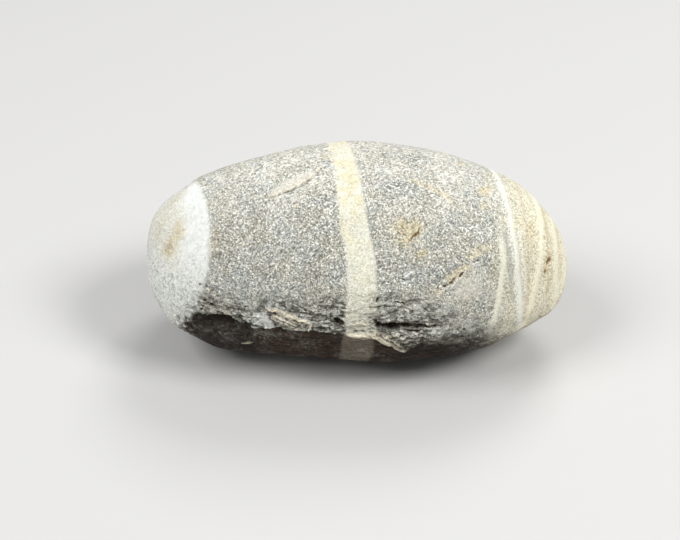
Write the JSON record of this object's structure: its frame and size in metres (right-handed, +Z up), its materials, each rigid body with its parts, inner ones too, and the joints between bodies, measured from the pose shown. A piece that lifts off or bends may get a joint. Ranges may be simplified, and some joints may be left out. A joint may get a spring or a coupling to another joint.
{
  "type": "basalt stone",
  "caption": "Water-worn oval basalt beach stone, grey with pale mineral veins and a rough broken lower edge, lying on a small flat spot.",
  "frame": {"origin": "middle of the stone's bounding box, on the plane it rests on", "axes": "+Z up, +X along the stone to its narrower end, -Y to the side with the broken lower edge"},
  "size_m": [0.0622, 0.0334, 0.0308],
  "materials": {
    "basalt": "matt water-worn basalt, fine light and dark grain, white mineral veins across it, tan staining in its pits"
  },
  "bodies": {
    "root": {"basalt_stone": "basalt"}
  },
  "joints": []
}
